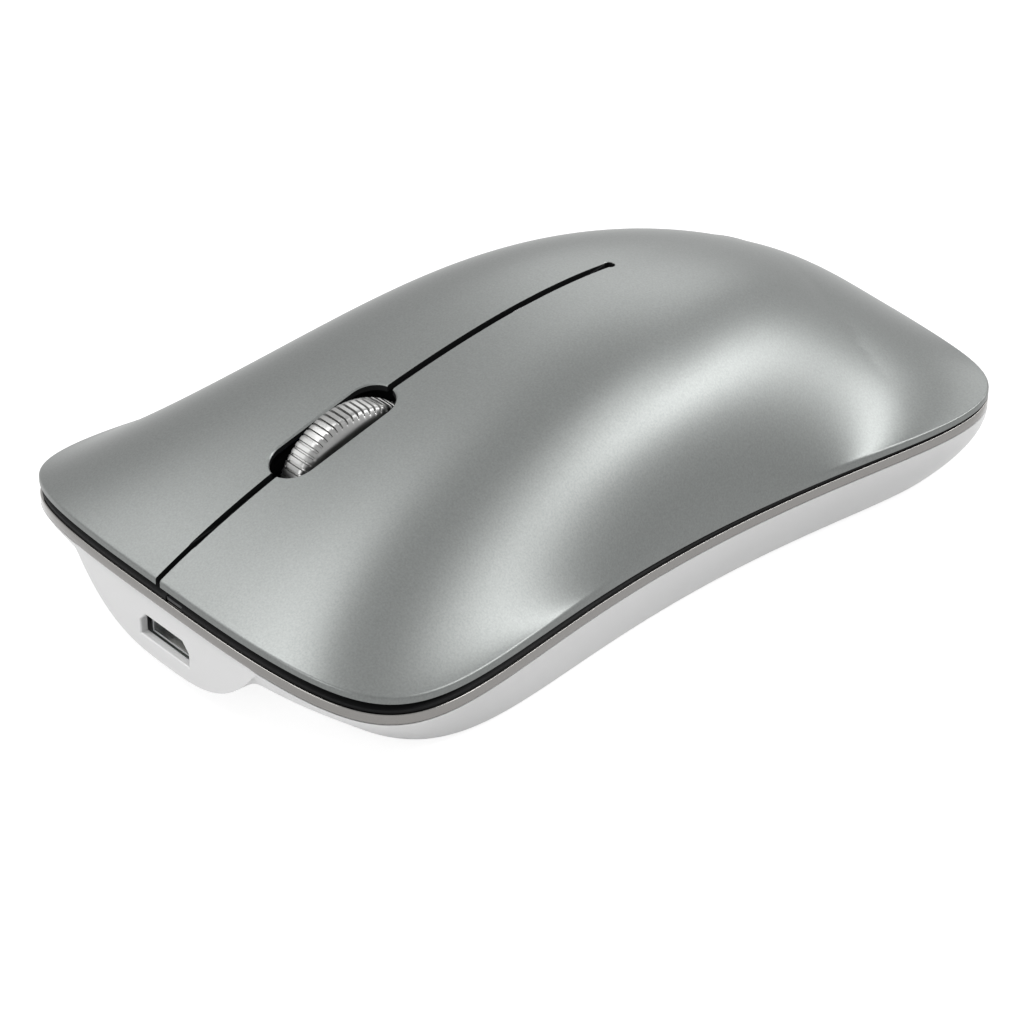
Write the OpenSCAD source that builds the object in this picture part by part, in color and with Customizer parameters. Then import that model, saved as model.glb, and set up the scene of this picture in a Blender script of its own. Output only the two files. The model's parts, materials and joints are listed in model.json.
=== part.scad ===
// Slim wireless computer mouse with a knurled scroll wheel, in millimetres.
// +Z is up, -Y is the front with the charging port, and the origin lies on the
// ground under the middle of the body.

/* [Body] */
// Length of the body, front lip to tail
body_l = 106; // [96:1:116]
// Heights of the crown along the centre line, front lip to tail
crown_z = [13.2, 20.7, 25.8, 28.9, 28.7, 23.3, 11.2]; // [10:0.1:32]
// Heights of the cover's side edge, front to tail
side_z = [8, 10.5, 10.3, 9.6, 9.7]; // [7:0.1:12]
// Half-widths of the frame that the plan outline fills, front to tail
frame_hw = [43.5, 32.4, 27.6, 27.3, 32.5]; // [24:0.1:46]
// Squareness of the outline's front corners
nose_n = 3.8; // [3:0.1:5]
// Squareness of the outline's rear corners
tail_n = 5.5; // [4:0.1:7]
// Flatness of the cross-section at the middle, front to tail
flat_p = [4.3, 3.1, 1.3]; // [1.3:0.1:5]
// Flare of the cross-section at the side, front to tail
flare_q = [3.2, 0.78, 2.5]; // [0.7:0.01:4]

/* [Edge stack] */
// Thickness of the metal top cover
cover_t = 0.8; // [0.6:0.1:1]
// Height of the black band at the front
band_front = 1.45; // [1.3:0.05:2]
// Height of the black band at the tail
band_rear = 0.25; // [0.2:0.05:0.6]
// Height of the bright trim
trim_h = 1.3; // [0.8:0.1:1.6]
// Thickness of the bright trim
trim_t = 0.6; // [0.4:0.1:0.9]
// Thickness of the black frame's wall
frame_t = 2; // [1.2:0.1:2.4]
// Setback of the black band from the cover's edge
band_in = 0.25; // [0.1:0.05:0.4]

/* [Lower shell] */
// Thickness of the feet
foot_h = 0.6; // [0.4:0.1:1]
// Wall of the lower shell
shell_t = 1.3; // [1:0.1:1.6]
// Thickness of the floor
floor_t = 1.2; // [1:0.1:1.6]
// How far the base is drawn in at the sides
base_in = 2.2; // [1.5:0.1:3]
// How far the base is drawn in at the tail
tail_in = 4.9; // [3:0.1:6]
// How far the base is drawn in at the front, behind the keel
nose_in = 8.8; // [7:0.1:10]
// Squareness of the base's front corners
base_n = 4.1; // [3.4:0.1:4.6]
// Fullness of the wall's bulge at the sides
wall_side = 1.95; // [1.4:0.05:2.6]
// Fullness of the wall's bulge at the front corners
wall_corner = 0.9; // [0.7:0.05:1.4]
// Height of the keel's underside on the centre line
keel_low = 1.75; // [1.4:0.05:2]
// How fast the keel's underside rises with the cube of the distance from the centre line
keel_rise = 0.0016; // [0.0012:0.0001:0.0022]
// Thickness of the keel's floor
keel_t = 0.9; // [0.7:0.05:0.95]
// Setback of the flat front face from the front lip
face_in = 0.4; // [0.2:0.05:0.6]

/* [Buttons] */
// Width of the slot between the buttons
slot_w = 0.8; // [0.6:0.1:1.2]
// Distance from the front lip to the end of the slot, where the buttons flex
button_l = 65; // [60:1:70]
// Diameter of the round end of the slot
slot_end_d = 1.3; // [1.1:0.1:2]
// Travel of a button at the front lip
button_travel = 0.7; // [0.5:0.05:0.8]
// Distance of a button's post from the centre line
post_x = 14; // [13.5:0.5:16]
// Distance of a button's post from the front lip
post_y = 19; // [17:0.5:21]
// Diameter of a button's post
post_d = 3; // [2:0.1:4]

/* [Wheel] */
// Diameter of the wheel over its knurls
wheel_d = 20.2; // [19:0.1:20.6]
// Width of the tread
tread_w = 3.6; // [3:0.1:4]
// Width of the wheel at its widest
wheel_w = 5.4; // [5:0.1:5.6]
// Distance of the wheel's axle from the front lip
wheel_y = 27; // [26:0.5:28]
// Height of the wheel's axle above the ground
wheel_z = 14.6; // [14.4:0.1:15]
// Number of knurls
knurls = 76; // [60:1:90]
// Depth of a knurl's groove
knurl_depth = 0.3; // [0.1:0.05:0.5]
// Diameter of the wheel's axle
axle_d = 2; // [1.6:0.1:2.4]
// Inner diameter of the metal rim
rim_bore_d = 14; // [12:0.5:15]
// Half the width of the wheel opening in the cover
opening_hw = 3; // [2.95:0.05:3.4]
// Length of the wheel opening
opening_l = 16.3; // [15.8:0.1:17]
// Distance of the opening's middle from the front lip
opening_y = 24.3; // [24:0.1:25]
// How far the axle drops when the wheel is pressed
click_travel = 0.5; // [0.3:0.05:0.6]

/* [Electronics] */
// Gap between the floor and the circuit board
board_gap = 1.2; // [1:0.1:1.4]
// Thickness of the circuit board
board_t = 1; // [0.8:0.1:1.2]
// Length, width and height of a button switch
switch_size = [12.8, 5.8, 6.5]; // [5:0.1:13]
// Side and height of the wheel's switch
tact_size = [4.5, 3.8]; // [3:0.1:5]
// Width, depth and height of the charging port's metal shell
port_size = [7.5, 5, 2.6]; // [2.4:0.1:8]
// Width and height of the opening round the charging port
port_hole = [9, 2.9]; // [2.8:0.1:9.5]
// Length, width and height of the battery
battery_size = [30, 19, 5.5]; // [5:0.5:32]
// Width, depth and height of the receiver's cap
cap_size = [14.4, 6.9, 6.1]; // [6:0.1:15]
// Width, length and height of the receiver's metal plug
plug_size = [12, 11.8, 4.5]; // [4.5:0.1:12]
// Travel of the power slider
slide_travel = 2.5; // [2:0.1:3]

/* [Clearances] */
// Gap where one fixed piece seats on another
seat_gap = 0.05; // [0.02:0.01:0.1]
// Gap between pieces that move past each other
move_gap = 0.3; // [0.25:0.05:0.4]
// Radial clearance of a shaft that turns in a bore
run_gap = 0.05; // [0.03:0.01:0.08]

/* [Hidden] */
$fn = 48;

// Steps round the outline, and the fractions from the middle to the edge
STEPS = 72;
OUT = [0.14, 0.3, 0.45, 0.58, 0.7, 0.8, 0.88, 0.95, 1];
// Part of the outline that is drawn with twice the steps, for the keel
FINE = [240, 300];
// Steps up the wall of the lower shell
UP = [0, 0.05, 0.14, 0.28, 0.46, 0.7, 0.97, 1];
// Angle of the front corner, and how far round the outline it fades
corner_a = 315;
corner_ease = 28;
min_p = 1.9;

half_l = body_l / 2;
floor_z = foot_h + floor_t;
board_z = floor_z + board_gap;
board_top = board_z + board_t;
face_y = face_in - half_l;
flex_y = button_l - half_l;
lip_h = 1.2;
lip_gap = 0.2;
axle_y = wheel_y - half_l;
axle_r = axle_d / 2;
open_y = opening_y - half_l;
press_y = post_y - half_l;

// Yoke that carries the wheel: its hinge pin, arms, eyes and cross bar
pin_d = 2;
pin_back = 14;
pin_y = axle_y + pin_back;
pin_z = 9;
arm_t = 2;
arm_gap = 1.3;
arm_in = wheel_w / 2 + arm_gap;
arm_out = arm_in + arm_t;
eye_wall = 1.4;
yoke_bar = [2.4, 3.4];
yoke_bar_low = 1.8;
pin_post_t = 2;
pin_post_l = 5;
pin_post_rise = 2.2;
pin_end = 0.5;
pin_half = arm_out + move_gap + pin_post_t + pin_end;

// Lightening holes in the wheel's hub
hub_web = 2;
hub_hole_at = 4.4;
hub_hole_d = 2.6;

// Encoder at the end of the axle: its size, and how far it reaches under the axle
encoder_size = [3.6, 9, 8.6];
encoder_low = 4.6;
axle_end = 3.2;

// Switches: plunger size, and the height of a button switch
plunger_d = 2;
plunger_h = 1;
plunger_sunk = 0.8;
press_travel = button_travel * (flex_y - press_y) / button_l;
switch_top = board_top + switch_size[2];
tact_gap = 0.1;
tact_x = arm_out + tact_size[0] / 2 + tact_gap;
tact_top = board_top + tact_size[1];
tab_t = 1.6;
tab_l = 3.2;

// Case screws and their bosses
screw_x = 13;
screw_in = 12;
screw_y = half_l - screw_in;
screw_d = 2;
screw_l = 8;
screw_head_d = 4;
screw_head_h = 1.4;
screw_play = 0.4;
head_sink = 2.2;
boss_d = 5.2;
boss_gap = 3.4;
boss_h = 4.5;
boss_top = floor_z + boss_h;

// Battery, in front of the bosses, and the ribs round it
battery_x = -12.6;
battery_y = screw_y - boss_d / 2 - boss_gap - battery_size[0] / 2;
battery_front = battery_y - battery_size[0] / 2;
rib_t = 1;
rib_h = 4.5;
rib_gap = 0.3;
rib_l = [8, 12];

// Board, in front of the battery: its half-width, and the half-widths of its nose
// with their distances from the front lip
board_hw = 23;
nose_hw = [5, 5.5, 17];
nose_back = [9, 11.5, 17];
board_rear = battery_front - 4;
sensor_y = board_rear - 5;
power_x = -14.5;
power_y = board_rear - 15;
pcb_screw_x = 19;
pcb_screw_y = power_y - 6;
pcb_screw_d = 1.5;
pcb_screw_l = 2.2;
pcb_head = [3.4, 1.1];
pcb_boss_d = 4;

// Optical sensor: lens, chip, and the windows in the floor and the board
lens_size = [10, 14];
chip_size = [9.6, 10, 2.2];
floor_window = [6, 10];
board_window = [4.4, 7];

// Power switch: body, well, and the openings in the floor and the board
power_size = [9.2, 4, 2.8];
power_well = [7.2, 2.6, 1.6];
power_hole = [8.4, 3.4];
power_board_hole = [10, 4.8];
slider_size = [4, 2];

// Plug of the battery's leads
plug_x = -18;
plug_body = [5.2, 4, 3];
plug_y = board_rear - 8.5;
lead_d = 1;
lead_x = 0.9;
lead_z = 1.6;

// Bay of the receiver
bay_x = 11.4;
bay_y0 = board_rear + 9;
bay_wall = 1;
bay_gap = 0.2;

// Slip feet: width and length
front_foot_size = [26, 5];
front_foot_in = 12.5;
front_foot_r = 2.4;
rear_foot_size = [33, 6];
rear_foot_r = 2.9;

// ---- Curves and surfaces ----

function total(v, i = 0) = i < len(v) ? v[i] + total(v, i + 1) : 0;
function product(v, i = 0) = i < len(v) ? v[i] * product(v, i + 1) : 1;

// The smooth curve through values at even stations, at t from 0 to 1
function curve(v, t) =
    let (n = len(v) - 1)
    total([for (i = [0 : n])
        v[i] * product([for (j = [0 : n]) if (j != i) (t * n - j) / (i - j)])]);

function along(y) = (y / half_l + 1) / 2;
function band(y) = band_front + (band_rear - band_front) * along(y);
function frame_w(y) = curve(frame_hw, along(y));

// Top surface above a point
function top_z(x, y) =
    let (
        t = along(y),
        u = min(1, abs(x) / frame_w(y)),
        p = max(min_p, curve(flat_p, t)),
        side = curve(side_z, t)
    )
    side + (curve(crown_z, t) - side) * pow(1 - pow(u, p), curve(flare_q, t));

// Plan point at angle a and fraction k of the way out
function plan(a, k = 1) =
    let (
        n = sin(a) < 0 ? nose_n : tail_n,
        r = k / pow(pow(abs(cos(a)), n) + pow(abs(sin(a)), n), 1 / n),
        y = half_l * r * sin(a)
    )
    [frame_w(y) * r * cos(a), y];

// Point of the base's flat outline at angle a
function base_plan(a) =
    let (
        front = sin(a) < 0,
        n = front ? base_n : tail_n,
        r = 1 / pow(pow(abs(cos(a)), n) + pow(abs(sin(a)), n), 1 / n),
        y = (half_l - (front ? nose_in : tail_in)) * r * sin(a)
    )
    [(frame_w(y) - base_in) * r * cos(a), y];

// Outward direction of the outline at angle a
function outward(a) =
    let (d = plan(a + 0.5) - plan(a - 0.5))
    [d[1], -d[0]] / norm(d);

// Heights of the stack's joints at angle a
function edge_z(a) = let (q = plan(a)) top_z(q[0], q[1]) - cover_t;
function trim_top(a) = edge_z(a) - band(plan(a)[1]);
function trim_bottom(a) = trim_top(a) - trim_h;

// Gap under the cover's edge, which grows with a button's travel
function edge_gap(y) =
    y < flex_y ? move_gap + button_travel * (flex_y - y) / button_l : seat_gap * 2;

function angles() = [for (i = [0 : STEPS - 1])
    let (a = i * 360 / STEPS)
    each (a >= FINE[0] && a < FINE[1] ? [a, a + 180 / STEPS] : [a])];

// Point drawn in from the outline by d, at height z
function lip_point(a, d, z) = let (q = plan(a) - d * outward(a)) [q[0], q[1], z];

// Height of the frame's inner lip, which follows the underside of the cover
function lip_z(a, d) =
    let (q = lip_point(a, d, 0))
    min(edge_z(a) + lip_h, top_z(q[0], q[1]) - cover_t) - edge_gap(plan(a)[1]) - lip_gap;

// Skin of rings: faces between them, and a flat or pointed end at each side
module ringed(rings) {
    n = len(rings[0]);
    m = len(rings);
    side = [for (j = [0 : m - 2], i = [0 : n - 1])
        let (a = j * n + i, b = j * n + (i + 1) % n)
        each [[a, a + n, b + n], [a, b + n, b]]];
    polyhedron(
        points = [for (r = rings) each r],
        faces = concat(side, [[for (i = [0 : n - 1]) i]],
            [[for (i = [n - 1 : -1 : 0]) (m - 1) * n + i]])
    );
}

// Closed band of rings, the last joined to the first
module hoop(rings) {
    n = len(rings[0]);
    m = len(rings);
    polyhedron(
        points = [for (r = rings) each r],
        faces = [for (j = [0 : m - 1], i = [0 : n - 1])
            let (k = (j + 1) % m * n, a = j * n + i, b = j * n + (i + 1) % n,
                c = k + i, d = k + (i + 1) % n)
            each [[a, c, d], [a, d, b]]]
    );
}

// Whole metal top before it is slit: a thin sheet over the crown
module top_sheet() {
    function skin(k, dz) = [for (a = angles())
        let (q = plan(a, k)) [q[0], q[1], top_z(q[0], q[1]) - dz]];
    inner = [for (k = OUT) skin(k, cover_t)];
    outer = [for (i = [len(OUT) - 1 : -1 : 0]) skin(OUT[i], 0)];
    rings = concat(inner, outer);
    n = len(angles());
    m = len(rings);
    tip = n * m;
    side = [for (j = [0 : m - 2], i = [0 : n - 1])
        let (a = j * n + i, b = j * n + (i + 1) % n)
        each [[a, a + n, b + n], [a, b + n, b]]];
    ends = [for (i = [0 : n - 1])
        let (b = (i + 1) % n)
        each [[tip, i, b], [tip + 1, (m - 1) * n + b, (m - 1) * n + i]]];
    polyhedron(
        points = concat([for (r = rings) each r],
            [[0, 0, top_z(0, 0) - cover_t], [0, 0, top_z(0, 0)]]),
        faces = concat(side, ends)
    );
}

// Everything under the middle of the sheet's thickness, down to the ground
module under_sheet() {
    function skin(k) = [for (a = angles())
        let (q = plan(a, k)) [q[0], q[1], top_z(q[0], q[1]) - cover_t / 2]];
    ringed(concat([[for (q = skin(1)) [q[0], q[1], 0]]],
        [for (i = [len(OUT) - 1 : -1 : 0]) skin(OUT[i])]));
}

// Long round-ended prism along Y
module pill(half_w, l, h) {
    linear_extrude(h)
        hull()
            for (s = [-1, 1])
                translate([0, s * (l / 2 - half_w)])
                    circle(half_w);
}

module wheel_opening() {
    translate([0, open_y, 0])
        pill(opening_hw, opening_l, body_l);
}

// Straight bar along X between two places
module bar_x(x0, x1, y, z, r) {
    translate([min(x0, x1), y, z])
        rotate([0, 90, 0])
            cylinder(r = r, h = abs(x1 - x0));
}

// Box given by its lowest corner and its size, rounded in plan
module slab(x0, y0, z0, size, r = 0.4) {
    translate([x0 + r, y0 + r, z0])
        linear_extrude(size[2])
            offset(r)
                square([size[0] - 2 * r, size[1] - 2 * r]);
}

// ---- Top ----

module palm_cover() {
    color("silver") {
        difference() {
            top_sheet();
            translate([-body_l, -body_l, -1])
                cube([2 * body_l, body_l + flex_y + move_gap, body_l]);
        }
        intersection() {
            under_sheet();
            for (s = [-1, 1])
                translate([s * screw_x, screw_y, 0])
                difference() {
                    translate([0, 0, boss_top])
                        cylinder(d = boss_d, h = body_l);
                    translate([0, 0, floor_z])
                        cylinder(d = screw_d, h = screw_l + 2);
                }
        }
    }
}

// One leaf of the cover, with the post that presses its switch; s is its side
module button_leaf(s) {
    post_tip = switch_top + plunger_h + move_gap;
    difference() {
        top_sheet();
        translate([s > 0 ? -body_l : -slot_w / 2, -body_l, -1])
            cube([body_l + slot_w / 2, 2 * body_l, body_l]);
        translate([-body_l, flex_y - move_gap, -1])
            cube([2 * body_l, body_l, body_l]);
        translate([0, flex_y - move_gap, 0])
            cylinder(d = slot_end_d, h = body_l);
        wheel_opening();
    }
    intersection() {
        under_sheet();
        translate([s * post_x, press_y, post_tip])
            cylinder(d = post_d, h = body_l);
    }
}

module left_button() {
    color("silver")
        button_leaf(-1);
}

module right_button() {
    color("silver")
        button_leaf(1);
}

// ---- Edge ----

module mid_frame() {
    inner = trim_t + frame_t;
    color("#161718")
        difference() {
            hoop([
                [for (a = angles()) lip_point(a, trim_t, trim_bottom(a) + seat_gap)],
                [for (a = angles()) lip_point(a, trim_t, trim_top(a) + seat_gap)],
                [for (a = angles()) lip_point(a, band_in, trim_top(a) + seat_gap)],
                [for (a = angles()) lip_point(a, band_in, edge_z(a) - edge_gap(plan(a)[1]))],
                [for (a = angles()) lip_point(a, inner, lip_z(a, inner))],
                [for (a = angles()) lip_point(a, inner, trim_bottom(a) + seat_gap)]
            ]);
            translate([pipe_x - seat_gap, -half_l, pipe_z - seat_gap])
                cube([pipe_w + 2 * seat_gap, 2 * inner, body_l]);
        }
}

module trim_ring() {
    inner = trim_t - seat_gap;
    color("#d4d4d2")
        hoop([
            [for (a = angles()) lip_point(a, 0, trim_bottom(a) + seat_gap)],
            [for (a = angles()) lip_point(a, 0, trim_top(a))],
            [for (a = angles()) lip_point(a, inner, trim_top(a))],
            [for (a = angles()) lip_point(a, inner, trim_bottom(a) + seat_gap)]
        ]);
}

// ---- Lower shell ----

// Fullness of the wall's bulge at angle a
function wall_n(a) =
    let (off = min(abs(a - corner_a), abs(a - 540 + corner_a)))
    wall_side + (wall_corner - wall_side) * exp(-pow(off / corner_ease, 2));

// Underside of the keel at distance x from the centre line
function keel_z(x) = keel_low + keel_rise * pow(abs(x), 3);

// Point of the shell's wall at angle a and fraction v of its height; lift is the
// keel's thickness for the inside of the wall, and 0 for the outside
function wall_point(a, v, d, z0, lift) =
    let (
        s = 1 - pow(1 - v, wall_n(a)),
        q = base_plan(a) * (1 - s) + plan(a) * s - d * outward(a),
        z = z0 + (trim_bottom(a) - z0) * v
    )
    [q[0], q[1], v < 1 && sin(a) < 0 ? min(z, keel_z(q[0]) + lift) : z];

module shell_bowl() {
    difference() {
        ringed(concat(
            [for (v = UP) [for (a = angles()) wall_point(a, v, 0, foot_h, 0)]],
            [for (i = [len(UP) - 1 : -1 : 0])
                [for (a = angles()) wall_point(a, UP[i], shell_t, floor_z, keel_t)]]
        ));
        translate([-body_l, -body_l, -1])
            cube([2 * body_l, body_l + face_y, body_l]);
    }
}

// Opening round the charging port, with its upper corners cut off
module port_outline(w, h, chamfer) {
    polygon([
        [-w / 2, -h / 2], [w / 2, -h / 2], [w / 2, h / 2 - chamfer],
        [w / 2 - chamfer, h / 2], [chamfer - w / 2, h / 2], [-w / 2, h / 2 - chamfer]
    ]);
}

port_z = board_top + port_size[2] / 2;
port_y = face_y + shell_t - face_in + 0.2;
port_chamfer = 1.1;
port_deep = 1.5;

module port_cut() {
    translate([0, port_y + port_deep, port_z])
        rotate([90, 0, 0])
            linear_extrude(port_deep + 3)
                port_outline(port_hole[0], port_hole[1], port_chamfer);
}

bay_l = cap_size[1] + plug_size[1];

module receiver_bay(grow, z0, h) {
    translate([bay_x - cap_size[0] / 2 - grow, bay_y0 - grow, z0])
        cube([cap_size[0] + 2 * grow, bay_l + 2 * grow, h]);
}

module lower_shell() {
    bay_top = foot_h + cap_size[2] + bay_gap;
    color("white")
        difference() {
            union() {
                shell_bowl();
                receiver_bay(bay_gap + bay_wall, foot_h, cap_size[2] + bay_gap + bay_wall);
                // Bosses for the case screws and the board's screws
                for (s = [-1, 1]) {
                    translate([s * screw_x, screw_y, foot_h])
                        cylinder(d = boss_d, h = boss_top - seat_gap - foot_h);
                    translate([s * pcb_screw_x, pcb_screw_y, foot_h])
                        cylinder(d = pcb_boss_d, h = board_z - seat_gap - foot_h);
                }
                // Posts that hold the yoke's hinge pin
                for (s = [-1, 1])
                    translate([s * (arm_out + move_gap + pin_post_t / 2), pin_y, foot_h])
                        translate([-pin_post_t / 2, -pin_post_l / 2, 0])
                            cube([pin_post_t, pin_post_l, pin_z + pin_post_rise - foot_h]);
                // Ribs round the battery
                for (s = [-1, 1])
                    translate([battery_x - rib_l[0] / 2,
                        battery_y + s * (battery_size[0] / 2 + rib_gap + rib_t / 2) - rib_t / 2,
                        foot_h])
                        cube([rib_l[0], rib_t, rib_h]);
                translate([battery_x + battery_size[1] / 2 + rib_gap, battery_y - rib_l[1] / 2,
                    foot_h])
                    cube([rib_t, rib_l[1], rib_h]);
            }
            receiver_bay(bay_gap, 0, bay_top);
            port_cut();
            // Light opening under the sensor
            translate([0, sensor_y, 0])
                pill(floor_window[0] / 2, floor_window[1], floor_z + 1);
            // Case screw holes, sunk from below
            for (s = [-1, 1])
                translate([s * screw_x, screw_y, 0]) {
                    cylinder(d = screw_d + screw_play, h = boss_top + 1);
                    cylinder(d = screw_head_d + screw_play, h = foot_h + head_sink);
                }
            for (s = [-1, 1])
                translate([s * pcb_screw_x, pcb_screw_y, floor_z - 0.4])
                    cylinder(d = pcb_screw_d + 0.1, h = 4);
            // Bores of the hinge pin
            bar_x(-pin_half, pin_half, pin_y, pin_z, pin_d / 2 + seat_gap / 2);
            // Window of the power slider
            slab(power_x - power_hole[0] / 2, power_y - power_hole[1] / 2, 0,
                [power_hole[0], power_hole[1], floor_z + 1]);
        }
}

module front_foot() {
    color("#3a3b3d")
        slab(-front_foot_size[0] / 2, front_foot_in - half_l, 0,
            [front_foot_size[0], front_foot_size[1], foot_h], front_foot_r);
}

module rear_foot() {
    color("#3a3b3d")
        slab(-rear_foot_size[0] / 2, screw_y - rear_foot_size[1] / 2, 0,
            [rear_foot_size[0], rear_foot_size[1], foot_h], rear_foot_r);
}

// ---- Wheel ----

// Grooves between the knurls, each a quarter of the pitch wide
module knurl_cuts() {
    groove_w = PI * wheel_d / knurls / 4;
    linear_extrude(wheel_w, center = true)
        for (i = [0 : knurls - 1])
            rotate(i * 360 / knurls)
                translate([wheel_d / 2 - knurl_depth, -groove_w / 2])
                    square([1, groove_w]);
}

module wheel_rim() {
    r = wheel_d / 2;
    t = tread_w / 2;
    w = wheel_w / 2;
    half = [[t - 0.5, r], [t, r - 0.15], [t + 0.25, r - 0.5], [w - 0.1, r - 1.9], [w, r - 2.6]];
    other = [for (i = [len(half) - 1 : -1 : 0]) [-half[i][0], half[i][1]]];
    color("#b9bab8")
        translate([0, axle_y, wheel_z])
            rotate([0, 90, 0])
                difference() {
                    rotate_extrude($fn = 96)
                        polygon([
                            [rim_bore_d / 2, -w], for (q = other) [q[1], q[0]],
                            for (q = half) [q[1], q[0]], [rim_bore_d / 2, w]
                        ]);
                    knurl_cuts();
                }
}

module wheel_hub() {
    color("#2a2b2d")
        difference() {
            bar_x(-wheel_w / 2, wheel_w / 2, axle_y, wheel_z, rim_bore_d / 2 - seat_gap / 2);
            bar_x(-wheel_w, wheel_w, axle_y, wheel_z, axle_r + seat_gap / 2);
            // Lightening holes on both sides of a thin web
            for (i = [0 : 5], s = [-1, 1])
                translate([0, axle_y, wheel_z])
                    rotate([i * 60, 0, 0])
                        bar_x(s * hub_web / 2, s * wheel_w, hub_hole_at, 0, hub_hole_d / 2);
        }
}

module wheel_axle() {
    color("#9a9b9d")
        bar_x(-arm_out - axle_end, arm_out, axle_y, wheel_z, axle_r);
}

module wheel_yoke() {
    color("#33363a")
        difference() {
            union() {
                for (s = [-1, 1])
                    translate([s * (arm_in + arm_t / 2), 0, 0])
                        rotate([0, 90, 0])
                            linear_extrude(arm_t, center = true)
                                hull() {
                                    translate([-pin_z, pin_y])
                                        circle(pin_d / 2 + eye_wall, $fn = 32);
                                    translate([-wheel_z, axle_y])
                                        circle(axle_r + eye_wall, $fn = 32);
                                }
                // Cross bar behind the wheel
                translate([-arm_in, pin_y - yoke_bar[0] / 2, pin_z - yoke_bar_low])
                    cube([2 * arm_in, yoke_bar[0], yoke_bar[1]]);
                // Tab over the wheel's switch
                translate([arm_in + 0.2, axle_y - tab_l / 2, tact_top + plunger_h + move_gap])
                    cube([tact_size[0] + arm_t, tab_l, tab_t]);
                translate([arm_in, axle_y - tab_l / 2, tact_top + plunger_h + move_gap])
                    cube([arm_t, tab_l, wheel_z - tact_top - plunger_h - move_gap]);
            }
            bar_x(-wheel_w * 2, wheel_w * 2, axle_y, wheel_z, axle_r + run_gap);
            bar_x(-wheel_w * 2, wheel_w * 2, pin_y, pin_z, pin_d / 2 + run_gap);
        }
}

module yoke_pin() {
    color("#9a9b9d")
        bar_x(-pin_half + pin_end, pin_half - pin_end, pin_y, pin_z, pin_d / 2);
}

module scroll_encoder() {
    color("#2f6fb0")
        difference() {
            slab(-arm_out - seat_gap - encoder_size[0], axle_y - encoder_size[1] / 2,
                wheel_z - encoder_low, encoder_size, 0.6);
            bar_x(-arm_out - axle_end - 0.1, 0, axle_y, wheel_z, axle_r + run_gap);
        }
}

// Black collar just under the opening, which stands on the board in front of the wheel
module wheel_surround() {
    slope = atan((top_z(0, open_y + 8) - top_z(0, open_y - 8)) / 16);
    drop = cover_t + button_travel + move_gap;
    collar_h = 2;
    collar_drop = 0.6;
    collar_wall = 1;
    // The collar's hole reaches past the opening, most of all at the back, where
    // the wheel runs on under the cover
    hole_front = 1.4;
    hole_back = 2.7;
    hole_hw = opening_hw + 0.6;
    hole_l = opening_l + hole_front + hole_back;
    leg_y = open_y - opening_l / 2 - hole_front - 0.4;
    leg_w = 5;
    leg_t = 1.3;
    color("#161718") {
        translate([0, open_y, top_z(opening_hw, open_y) - drop])
            rotate([slope, 0, 0])
                translate([0, (hole_back - hole_front) / 2, -collar_h - collar_drop])
                    difference() {
                        pill(hole_hw + collar_wall, hole_l + 2 * collar_wall, collar_h);
                        translate([0, 0, -1])
                            pill(hole_hw, hole_l, collar_h + 2);
                    }
        translate([-leg_w / 2, leg_y, board_top + seat_gap])
            cube([leg_w, leg_t, top_z(opening_hw, leg_y) - drop - board_top - 0.4]);
    }
}

// ---- Electronics ----

module main_pcb() {
    side = [
        [nose_hw[0], port_y + 1], [nose_hw[1], nose_back[0] - half_l],
        [nose_hw[2], nose_back[1] - half_l], [board_hw, nose_back[2] - half_l],
        [board_hw, board_rear]
    ];
    color("#1f6b3a")
        difference() {
            translate([0, 0, board_z])
                linear_extrude(board_t)
                    polygon(concat(side,
                        [for (i = [len(side) - 1 : -1 : 0]) [-side[i][0], side[i][1]]]));
            // Openings for the wheel, the hinge posts, the screws, the sensor and the switch
            translate([0, axle_y, 0])
                pill(wheel_w / 2 + 1, wheel_d + 1.6, wheel_z);
            for (s = [-1, 1])
                translate([s * (arm_out + move_gap + pin_post_t / 2), pin_y, 0])
                    translate([-pin_post_t / 2 - move_gap, -pin_post_l / 2 - move_gap, 0])
                        cube([pin_post_t + 2 * move_gap, pin_post_l + 2 * move_gap, wheel_z]);
            for (s = [-1, 1])
                translate([s * pcb_screw_x, pcb_screw_y, 0])
                    cylinder(d = pcb_screw_d + 0.7, h = wheel_z);
            translate([0, sensor_y, 0])
                pill(board_window[0] / 2, board_window[1], wheel_z);
            slab(power_x - power_board_hole[0] / 2, power_y - power_board_hole[1] / 2, 0,
                [power_board_hole[0], power_board_hole[1], wheel_z]);
        }
}

// Micro switch body on the board, with a well for its plunger
module switch_body(x, y) {
    color("#26282b")
        difference() {
            slab(x - switch_size[1] / 2, y - switch_size[0] / 2, board_top + seat_gap,
                [switch_size[1], switch_size[0], switch_size[2] - seat_gap], 0.5);
            translate([x, y, switch_top - plunger_sunk - press_travel - move_gap])
                cylinder(d = plunger_d + 2 * move_gap, h = 3);
        }
}

// Plunger that sits in a switch's well and stands proud of it
module plunger(x, y, top) {
    color("#c8452f")
        translate([x, y, top - plunger_sunk])
            cylinder(d = plunger_d, h = plunger_h + plunger_sunk);
}

module left_switch() {
    switch_body(-post_x, press_y);
}

module left_switch_plunger() {
    plunger(-post_x, press_y, switch_top);
}

module right_switch() {
    switch_body(post_x, press_y);
}

module right_switch_plunger() {
    plunger(post_x, press_y, switch_top);
}

module wheel_switch() {
    color("#26282b")
        difference() {
            slab(tact_x - tact_size[0] / 2, axle_y - tact_size[0] / 2, board_top + seat_gap,
                [tact_size[0], tact_size[0], tact_size[1] - seat_gap]);
            translate([tact_x, axle_y, tact_top - plunger_sunk - click_travel - move_gap])
                cylinder(d = plunger_d + 2 * move_gap, h = 3);
        }
}

module wheel_switch_plunger() {
    plunger(tact_x, axle_y, tact_top);
}

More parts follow.
